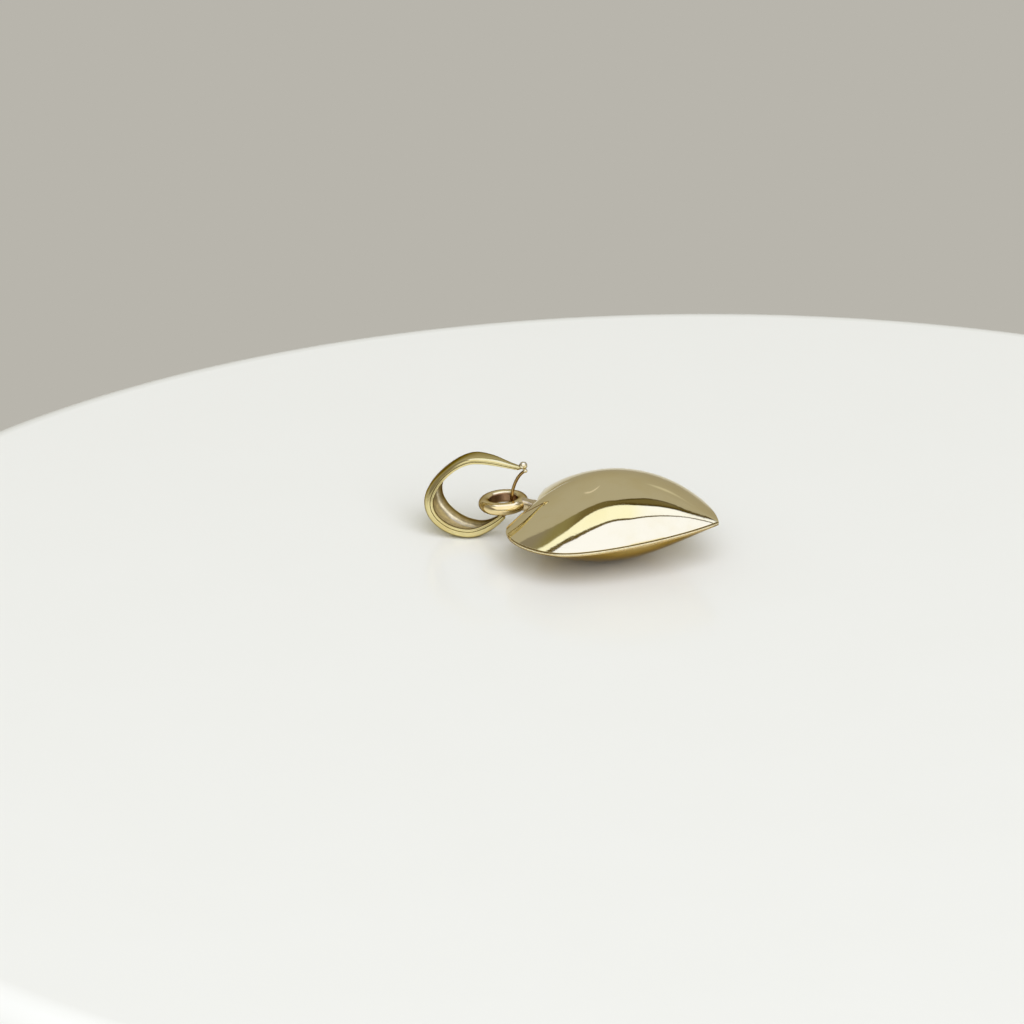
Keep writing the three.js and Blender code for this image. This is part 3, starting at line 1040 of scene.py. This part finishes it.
    def strap(self) -> Piece:
        """Builds the strap.

        Returns:
            The strap as an object.
        """
        rings = []
        at, along, out = self.station(0.0)
        nose = self.section(*self.girth(0.0))
        marks = nose[:, 2:]
        middle = np.array([0.0, self.girths[0].flank / 2])
        for step in np.linspace(1, 0, self.nose_steps, endpoint=False):
            flat = middle + (nose[:, :2] - middle) * (1 - self.nose_shrink * step)
            foot = at - along * self.nose_run * step + out * self.nose_rise * step**2
            rings.append(self._upright(foot, out, flat))
        for share in np.linspace(0, 1, self.stations):
            at, _, out = self.station(share)
            rings.append(self._upright(at, out, self.section(*self.girth(share))))
        rings = np.array(rings)
        at, along, out = self.station(1.0)
        last = at + out * self.girths[-1].flank / 2 + along * self.end_tip
        ends = [rings[0].mean(axis=0), np.array([last[0], 0.0, last[1]])]
        points, faces = loft(ends[0], rings, ends[1])
        made = solid("leaf_strap", self.lie.place(points), faces, 40.0)
        # The painted-shade marks go onto the mesh's points.
        for name, column in zip(("hollow", "groove"), marks.T):
            mark = made.data.attributes.new(name, "FLOAT", "POINT")
            mark.data.foreach_set("value", np.concatenate([[0.0], np.tile(column, len(rings)), [0.0]]))
        return made

    def bead_places(self) -> tuple[np.ndarray, np.ndarray]:
        """The middles of the bead on the strap's tip and of the bead on the tail."""
        at, along, out = self.station(0.0)
        _, flank, _ = self.girth(0.0)
        before, above = self.tip_bead / 2 + self.bead_gap, flank + self.bead_seat * self.tip_bead
        on_tip = at - along * before + out * above
        drop = (self.tip_bead + self.tail_bead) / 2 - self.bead_melt
        return on_tip, on_tip + heading(-self.bead_angle, drop)

    def tail(self) -> Piece:
        """Draws the tail from the strap's lower end up through the ring to its bead.

        Returns:
            The tail as an object.
        """
        at, along, out = self.station(1.0)
        _, flank, _ = self.girth(1.0)
        start = at + out * flank / 2 - along * self.tail_root
        through = np.array([self.tail_place, 0.0])
        back = heading(180 + self.tail_lean)
        finish = self.bead_places()[1] + back * self.tail_sunk * self.tail_bead / 2
        lower = np.linalg.norm(through - start)
        upper = np.linalg.norm(finish - through)
        share = np.linspace(0, 1, self.tail_steps)
        leave, arrive, go_on, close = self.tail_pulls
        flat = np.vstack([
            Stretch(start, along * leave * lower, through, np.array([0.0, -arrive * lower])).at(share)[:-1],
            Stretch(through, np.array([0.0, go_on * upper]), finish, back * close * upper).at(share),
        ])
        path = np.column_stack([flat[:, 0], np.zeros(len(flat)), flat[:, 1]])
        wire = PathSweep(round_section(self.tail_wire, self.tail_sides), swell=self.tail_swell)
        return wire.draw("closing_tail", self.lie.place(path), SHADED_TAIL_GOLD)

    def bead(self, name: str, diameter: float, flat: np.ndarray, lean: float) -> Piece:
        """Builds a melted bead, a little longer towards the piece that it melted from.

        Args:
            name: The name of the piece.
            diameter: The bead's diameter.
            flat: Its middle in the plane of the loop.
            lean: The direction, in degrees, in which it is drawn out.

        Returns:
            The bead as an object.
        """
        rows, count = self.bead_steps
        polar = np.linspace(0, math.pi, rows + 2)[1:-1]
        angle = np.linspace(0, 2 * math.pi, count, endpoint=False)
        ring = np.array([[
            [math.sin(p) * math.cos(a), math.sin(p) * math.sin(a), math.cos(p)] for a in angle
        ] for p in polar])
        points, faces = loft(np.array([0, 0, 1.0]), ring, np.array([0, 0, -1.0]))
        pull = heading(lean)
        along = points @ np.array([pull[0], 0.0, pull[1]])
        first, second = self.lump_waves
        waves = np.sin(first * points[:, 0] + self.lump_shift) * np.cos(second * points[:, 1])
        reach = (1 - self.lump_depth * waves) * (1 - self.bead_stretch * (1 - np.clip(along, 0, 1) ** 3))
        stretched = points * reach[:, None]
        middle = np.array([flat[0], 0.0, flat[1]])
        return solid(name, self.lie.place(middle + stretched * diameter / 2), faces, 80.0)

    def build(self) -> None:
        """Makes and dresses the strap, the tail and the beads."""
        hand_over(self.strap(), "bail", "bail_strap", STRAP_GOLD)
        hand_over(self.tail(), "bail", "bail_tail", SHADED_TAIL_GOLD)
        beads = (("tip_bead", self.tip_bead), ("tail_bead", self.tail_bead))
        for (name, diameter), place, lean in zip(beads, self.bead_places(), self.bead_leans):
            hand_over(self.bead(name, diameter, place, lean), "bail", "bail_" + name, LIT_BEAD_GOLD)


@dataclass(frozen=True)
class PhotoView:
    """The photograph's viewing angle and scale."""

    azimuth: float = 21.4
    elevation: float = 23.0
    distance: float = 1200.0
    pixels_per_mm: float = 16.0
    known_point: Spot = (-2.849, 0.0, 2.214)
    known_pixel: Point = (531.55, 509.27)
    image_size: float = 1024.0
    sensor: float = 36.0
    clip: Point = (10.0, 5000.0)

    def back(self) -> Vector:
        """The direction from the object to the camera."""
        a, e = math.radians(self.azimuth), math.radians(self.elevation)
        return Vector((math.sin(a) * math.cos(e), -math.cos(a) * math.cos(e), math.sin(e)))

    def right(self) -> Vector:
        """The image's rightward direction."""
        a = math.radians(self.azimuth)
        return Vector((math.cos(a), math.sin(a), 0.0))

    def forward(self) -> Vector:
        """The level direction away from the camera."""
        a = math.radians(self.azimuth)
        return Vector((-math.sin(a), math.cos(a), 0.0))

    def build(self) -> Piece:
        """Makes the camera.

        Returns:
            The camera, set as the scene's own.
        """
        lens = bpy.data.cameras.new("photo_view")
        lens.sensor_width = self.sensor
        lens.lens = self.sensor * self.distance / (self.image_size / self.pixels_per_mm)
        lens.clip_start, lens.clip_end = (distance * MM for distance in self.clip)
        camera = bpy.data.objects.new("photo_view", lens)
        bpy.context.scene.collection.objects.link(camera)
        middle = self.image_size / 2
        up = self.back().cross(self.right())
        offset = self.right() * (middle - self.known_pixel[0]) + up * (self.known_pixel[1] - middle)
        target = Vector(self.known_point) + offset / self.pixels_per_mm
        camera.location = (target + self.back() * self.distance) * MM
        camera.rotation_mode = "QUATERNION"
        camera.rotation_quaternion = (-self.back()).to_track_quat("-Z", "Y")
        bpy.context.scene.camera = camera
        return camera


class Sky(Bench):
    """The node tree of the sky, with sockets that say where in it a ray goes."""

    def __init__(self, tree: bpy.types.NodeTree, right: Vector, forward: Vector, lowest: float) -> None:
        """Measures a ray.

        Args:
            tree: The node tree to fill.
            right: The direction that counts as across.
            forward: The direction that counts as ahead.
            lowest: The height below which the stretching stops.
        """
        super().__init__(tree)
        self.ray = self.through(self.add("ShaderNodeTexCoord").outputs["Generated"],
                                "ShaderNodeVectorMath", operation="NORMALIZE")
        self.height = self.dot(self.ray, (0, 0, 1))
        spread = self.maths("ADD", self.maths("MAXIMUM", self.height, lowest), 1.0)
        self.across = self.maths("DIVIDE", self.dot(self.ray, right), spread)
        self.ahead = self.maths("DIVIDE", self.dot(self.ray, forward), spread)


@dataclass(frozen=True)
class Studio:
    """A round white plate under one wide soft light, with a grey backdrop round it.

    The light reaches from over the plate's far side down to the front. Its edges are given in the sky
    above the plate, as places across and ahead that stretch the sky's half globe flat.
    """

    view: PhotoView
    plate_radius: float = 63.4
    plate_middle: Point = (8.7, -22.5)
    plate_edge: float = 3.0
    edge_steps: int = 19
    plate_sides: int = 240
    glaze: Colour = (0.875, 0.88, 0.825)
    glaze_cloud: Colour = (0.86, 0.865, 0.805)
    cloud_size: float = 9.0
    cloud_haze: Point = (0.06, 0.12)
    glaze_bend: float = 1.45
    backdrop: Colour = (0.48, 0.462, 0.413)
    overhead: Colour = (1.13, 1.24, 1.76)
    window: Colour = (4.51, 4.65, 5.37)
    window_towards: Spot = (0.17, 0.75, 0.7)
    fill: Colour = (0.475, 0.455, 0.37)
    front: Colour = (1.08, 1.08, 1.10)
    sides: Colour = (0.38, 0.36, 0.33)
    bounce: Colour = (1.15, 1.22, 1.22)
    bounce_right: Colour = (1.15, 1.26, 1.70)
    crescent: Colour = (0.74, 0.71, 0.68)
    seam: Colour = (0.13, 0.10, 0.035)
    gap: Colour = (0.17, 0.14, 0.06)
    gap_rim: Colour = (0.075, 0.055, 0.012)
    gap_left: Colour = (0.27, 0.25, 0.13)
    room: Colour = (0.27, 0.25, 0.22)
    slit: Colour = (0.68, 0.67, 0.62)
    dark_strip: Colour = (0.11, 0.10, 0.085)
    lowest: float = -0.6
    side_middle: float = 0.03
    side_fade: Point = (0.24, 0.32)
    front_fade: Point = (-0.08, -0.18)
    right_fade: Point = (0.06, 0.16)
    frame_fade: Point = (-0.002, 0.002)
    frame_half: Point = (0.0085, 0.0065)
    gap_fade: Point = (-0.004, 0.004)
    gap_left_fade: Point = (-0.22, -0.12)
    gap_rim_fades: tuple[Point, ...] = ((0.035, 0.01), (-0.02, -0.005), (-0.1, 0.12))
    ceiling_fade: Point = (0.48, 0.36)
    panel_fades: tuple[Point, ...] = ((-0.55, -0.42), (0.80, 0.68), (0.17, 0.21), (0.10, -0.05))
    strip_fades: tuple[Point, ...] = ((-0.2, -0.4), (0.06, 0.10), (0.16, 0.19))
    backdrop_fades: tuple[Point, ...] = ((-0.003, 0.003), (0.0, 0.1))
    slit_lean: float = -0.55
    slit_place: Point = (0.208, 0.70)
    slit_fades: tuple[Point, ...] = ((0.02, 0.005), (0.06, 0.01))
    crescent_place: Point = (0.13, 0.392)
    crescent_bow: float = 20.0
    crescent_fades: tuple[Point, ...] = ((0.014, 0.004), (0.05, 0.025))
    window_fade: Point = (0.80, 0.97)
    reach: float = 0.42
    backdrop_edge: tuple[Point, ...] = (
        (-0.42, 0.564), (-0.336, 0.454), (-0.253, 0.335), (-0.191, 0.292), (-0.102, 0.258), (-0.011, 0.257),
        (0.05, 0.278), (0.102, 0.315), (0.144, 0.36), (0.166, 0.374), (0.178, 0.364), (0.185, 0.345),
        (0.191, 0.323), (0.196, 0.304), (0.201, 0.28), (0.22, 0.23), (0.42, 0.2),
    )
    gap_edge: tuple[Point, ...] = (
        (-0.42, 0.467), (-0.319, 0.381), (-0.266, 0.289), (-0.221, 0.25), (-0.116, 0.212), (-0.042, 0.212),
        (0.028, 0.221), (0.098, 0.242), (0.144, 0.271), (0.171, 0.295), (0.184, 0.301), (0.191, 0.294),
        (0.196, 0.28), (0.2, 0.252), (0.22, 0.18), (0.42, 0.17),
    )
    frame_line: tuple[Point, ...] = (
        (-0.42, 0.409), (-0.213, 0.213), (-0.159, 0.175), (-0.087, 0.128), (-0.025, 0.112), (0.056, 0.112),
        (0.135, 0.151), (0.189, 0.216), (0.205, 0.254), (0.3, 0.3), (0.42, 0.38),
    )

    def _past(self, sky: Sky, points: Sequence[Point]) -> Socket:
        """Reads how far past an edge of the studio a ray goes.

        Args:
            sky: The sky's tree.
            points: The edge's points, across and ahead.

        Returns:
            The socket that holds the distance, above 0 beyond the edge.
        """
        share = sky.maths("MULTIPLY_ADD", sky.across, 0.5 / self.reach, 0.5, clamp=True)
        node = sky.add("ShaderNodeFloatCurve", {"Value": share})
        curve = node.mapping.curves[0]
        while len(curve.points) < len(points):
            curve.points.new(0.5, 0.5)
        for point, (across, ahead) in zip(curve.points, points):
            point.location = ((across + self.reach) / (2 * self.reach), ahead)
            point.handle_type = "AUTO_CLAMPED"
        node.mapping.update()
        return sky.maths("SUBTRACT", sky.ahead, node.outputs["Value"])

    def _lamp(self, sky: Sky, past_backdrop: Socket) -> Socket:
        """Draws the wide light over the plate, its frame and the dark gap behind it.

        Args:
            sky: The sky's tree.
            past_backdrop: How far past the backdrop's edge a ray goes.

        Returns:
            The socket that holds the colour.
        """
        past_gap = self._past(sky, self.gap_edge)
        past_frame = self._past(sky, self.frame_line)
        aside = sky.step(sky.apart(sky.across, self.side_middle), *self.side_fade)
        light = sky.mix(aside, self.overhead, self.sides)
        light = sky.mix(sky.step(sky.ahead, *self.front_fade), light, self.front)
        bounce = sky.mix(sky.step(sky.across, *self.right_fade), self.bounce, self.bounce_right)
        light = sky.mix(sky.step(past_frame, *self.frame_fade), light, bounce)
        on_frame = sky.step(sky.maths("ABSOLUTE", past_frame), *self.frame_half)
        light = sky.mix(on_frame, light, self.seam)
        low, high, start = (sky.step(value, *fade) for value, fade in zip(
            (past_gap, past_backdrop, sky.across), self.gap_rim_fades))
        gap = sky.mix(sky.times(sky.maths("MAXIMUM", low, high), start), self.gap, self.gap_rim)
        gap = sky.mix(sky.step(sky.across, *self.gap_left_fade), self.gap_left, gap)
        return sky.mix(sky.step(past_gap, *self.gap_fade), light, gap)

    def _walls(self, sky: Sky, light: Socket) -> Socket:
        """Puts dull walls, a panel in front and a dark strip below it round the light.

        Args:
            sky: The sky's tree.
            light: The light's colour.

        Returns:
            The socket that holds the colour.
        """
        squares = (sky.times(way, way) for way in (sky.across, sky.ahead))
        over = sky.step(sky.maths("SQRT", sky.maths("ADD", *squares)), *self.ceiling_fade)
        panel = sky.steps((sky.across, sky.across, sky.height, sky.ahead), self.panel_fades)
        room = sky.mix(sky.maths("MAXIMUM", over, panel), self.room, light)
        in_front, foot, top = (sky.step(value, *fade) for value, fade in zip(
            (sky.ahead, sky.height, sky.height), self.strip_fades))
        low = sky.mix(foot, self.backdrop, sky.mix(in_front, self.backdrop, self.dark_strip))
        return sky.mix(top, low, room)

    def _screen(self, sky: Sky) -> Socket:
        """Draws the backdrop with a pale slit and a pale crescent.

        Args:
            sky: The sky's tree.

        Returns:
            The socket that holds the colour.
        """
        beside, middle = self.slit_place
        beside = sky.maths("ADD", sky.maths("MULTIPLY_ADD", sky.ahead, self.slit_lean, sky.across), beside)
        from_slit = (sky.maths("ABSOLUTE", beside), sky.apart(sky.ahead, middle))
        screen = sky.mix(sky.steps(from_slit, self.slit_fades), self.backdrop, self.slit)
        aside, ahead = self.crescent_place
        aside = sky.maths("ADD", sky.across, aside)
        bow = sky.maths("MULTIPLY_ADD", sky.times(aside, aside), self.crescent_bow, ahead)
        from_crescent = (sky.apart(sky.ahead, bow), sky.maths("ABSOLUTE", aside))
        return sky.mix(sky.steps(from_crescent, self.crescent_fades), screen, self.crescent)

    def sky(self) -> bpy.types.World:
        """Builds the light of the room by its direction.

        Metal and the camera see the studio, and all else is lit by a plain soft window and fill.

        Returns:
            The world, set as the scene's own.
        """
        world = bpy.data.worlds.new("soft_studio")
        world.use_nodes = True
        right, forward = self.view.right(), self.view.forward()
        sky = Sky(world.node_tree, right, forward, self.lowest)
        past_backdrop = self._past(sky, self.backdrop_edge)
        studio = self._walls(sky, self._lamp(sky, past_backdrop))
        behind = sky.steps((past_backdrop, sky.ahead), self.backdrop_fades)
        studio = sky.mix(behind, studio, self._screen(sky))
        side, front, up = self.window_towards
        window = right * side - forward * front + Vector((0.0, 0.0, up))
        in_window = sky.step(sky.dot(sky.ray, window.normalized()), *self.window_fade)
        path = sky.add("ShaderNodeLightPath").outputs
        seen = sky.maths("MAXIMUM", path["Is Camera Ray"], path["Is Glossy Ray"])
        light = sky.mix(seen, sky.mix(in_window, self.fill, self.window), studio)
        shade = sky.through(light, "ShaderNodeBackground")
        sky.add("ShaderNodeOutputWorld", {"Surface": shade})
        bpy.context.scene.world = world
        return world

    def plate(self) -> Piece:
        """Builds the round plate with a soft edge.

        Returns:
            The plate.
        """
        middle = self.view.right() * self.plate_middle[0] + self.view.forward() * self.plate_middle[1]
        profile = [(0.0, -2 * self.plate_edge)]
        profile += [(self.plate_radius - self.plate_edge + self.plate_edge * math.cos(a),
                     -self.plate_edge + self.plate_edge * math.sin(a))
                    for a in np.radians(np.linspace(-90, 90, self.edge_steps))]
        profile += [(0.0, 0.0)]
        angle = np.linspace(0, 2 * math.pi, self.plate_sides, endpoint=False)
        rings = np.array([
            np.column_stack([np.cos(angle) * r, np.sin(angle) * r, np.full(len(angle), z)])
            for r, z in profile[1:-1]
        ])
        points, faces = loft(np.array([0, 0, profile[0][1]]), rings[:, ::-1], np.array([0.0, 0.0, 0.0]))
        made = solid("white_plate", points + np.array(middle), faces, 40.0)
        made.data.materials.append(self._glaze())
        return made

    def _glaze(self) -> bpy.types.Material:
        """The plate's white glaze, with a faint unevenness."""
        glaze = bpy.data.materials.new("white_glaze")
        glaze.use_nodes = True
        bench = Bench(glaze.node_tree)
        place = bench.add("ShaderNodeTexCoord").outputs["Object"]
        cloud = bench.noise(place, self.cloud_size, 3.0)
        shader = bench.add("ShaderNodeBsdfPrincipled", {
            "Base Color": bench.mix(cloud, self.glaze, self.glaze_cloud),
            "Roughness": bench.maths("MULTIPLY_ADD", cloud, *self.cloud_haze),
            "IOR": self.glaze_bend,
        })
        bench.add("ShaderNodeOutputMaterial", {"Surface": shader.outputs["BSDF"]})
        return glaze

    def build(self) -> None:
        """Makes the sky and the plate and sets how colours are shown."""
        self.sky()
        self.plate()
        bpy.context.scene.view_settings.view_transform = "Standard"


def main() -> None:
    """Builds the view, the studio and the pendant's pieces in order."""
    logging.basicConfig(level=logging.INFO, format="%(message)s")
    view = PhotoView()
    view.build()
    Studio(view).build()
    heart = HollowHeart()
    heart.build()
    EyeRing(heart).build()
    LeafBail().build()


if __name__ == "__main__":
    main()
